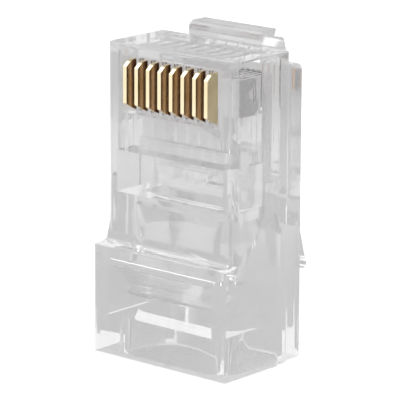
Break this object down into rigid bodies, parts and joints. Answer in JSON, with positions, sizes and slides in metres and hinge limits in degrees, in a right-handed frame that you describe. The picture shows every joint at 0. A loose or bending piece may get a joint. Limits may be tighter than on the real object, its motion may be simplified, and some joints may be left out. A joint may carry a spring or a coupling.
{
  "type": "rj45 modular plug",
  "caption": "Clear modular plug for round data cable: gold blade contacts in a comb at the nose, a springy latch lever, a jacket clamp in the flange and an open cable entry.",
  "frame": {"origin": "middle of the bounding box at the cable end, which the plug stands on", "axes": "+Z from the cable end to the nose, -Y the contact side, +Y the latch side, +X the side of contact 8"},
  "size_m": [0.0116, 0.0136, 0.0224],
  "materials": {
    "clear_polycarbonate": "clear, moulded, polished faces",
    "gold_plated_brass": "gold flash, satin"
  },
  "bodies": {
    "housing": {"housing": "clear_polycarbonate"},
    "latch": {"latch": "clear_polycarbonate"},
    "jacket_clamp": {"jacket_clamp": "clear_polycarbonate"},
    "contact_1": {"contact_1": "gold_plated_brass"},
    "contact_2": {"contact_2": "gold_plated_brass"},
    "contact_3": {"contact_3": "gold_plated_brass"},
    "contact_4": {"contact_4": "gold_plated_brass"},
    "contact_5": {"contact_5": "gold_plated_brass"},
    "contact_6": {"contact_6": "gold_plated_brass"},
    "contact_7": {"contact_7": "gold_plated_brass"},
    "contact_8": {"contact_8": "gold_plated_brass"}
  },
  "joints": [
    {"name": "latch_flex", "type": "hinge", "parent": "housing", "child": "latch", "pos_m": [0, 0.00022, 0.02078], "axis": [-1, 0, 0], "range_deg": [0, 12], "stiffness_Nm_per_rad": 0.2},
    {"name": "jacket_clamp_swing", "type": "hinge", "parent": "housing", "child": "jacket_clamp", "pos_m": [0, -0.00588, 0.00636], "axis": [1, 0, 0], "range_deg": [0, 30]},
    {"name": "contact_1_press", "type": "slide", "parent": "housing", "child": "contact_1", "axis": [0, 1, 0], "range_m": [0, 0.0008]},
    {"name": "contact_2_press", "type": "slide", "parent": "housing", "child": "contact_2", "axis": [0, 1, 0], "range_m": [0, 0.0008]},
    {"name": "contact_3_press", "type": "slide", "parent": "housing", "child": "contact_3", "axis": [0, 1, 0], "range_m": [0, 0.0008]},
    {"name": "contact_4_press", "type": "slide", "parent": "housing", "child": "contact_4", "axis": [0, 1, 0], "range_m": [0, 0.0008]},
    {"name": "contact_5_press", "type": "slide", "parent": "housing", "child": "contact_5", "axis": [0, 1, 0], "range_m": [0, 0.0008]},
    {"name": "contact_6_press", "type": "slide", "parent": "housing", "child": "contact_6", "axis": [0, 1, 0], "range_m": [0, 0.0008]},
    {"name": "contact_7_press", "type": "slide", "parent": "housing", "child": "contact_7", "axis": [0, 1, 0], "range_m": [0, 0.0008]},
    {"name": "contact_8_press", "type": "slide", "parent": "housing", "child": "contact_8", "axis": [0, 1, 0], "range_m": [0, 0.0008]}
  ]
}
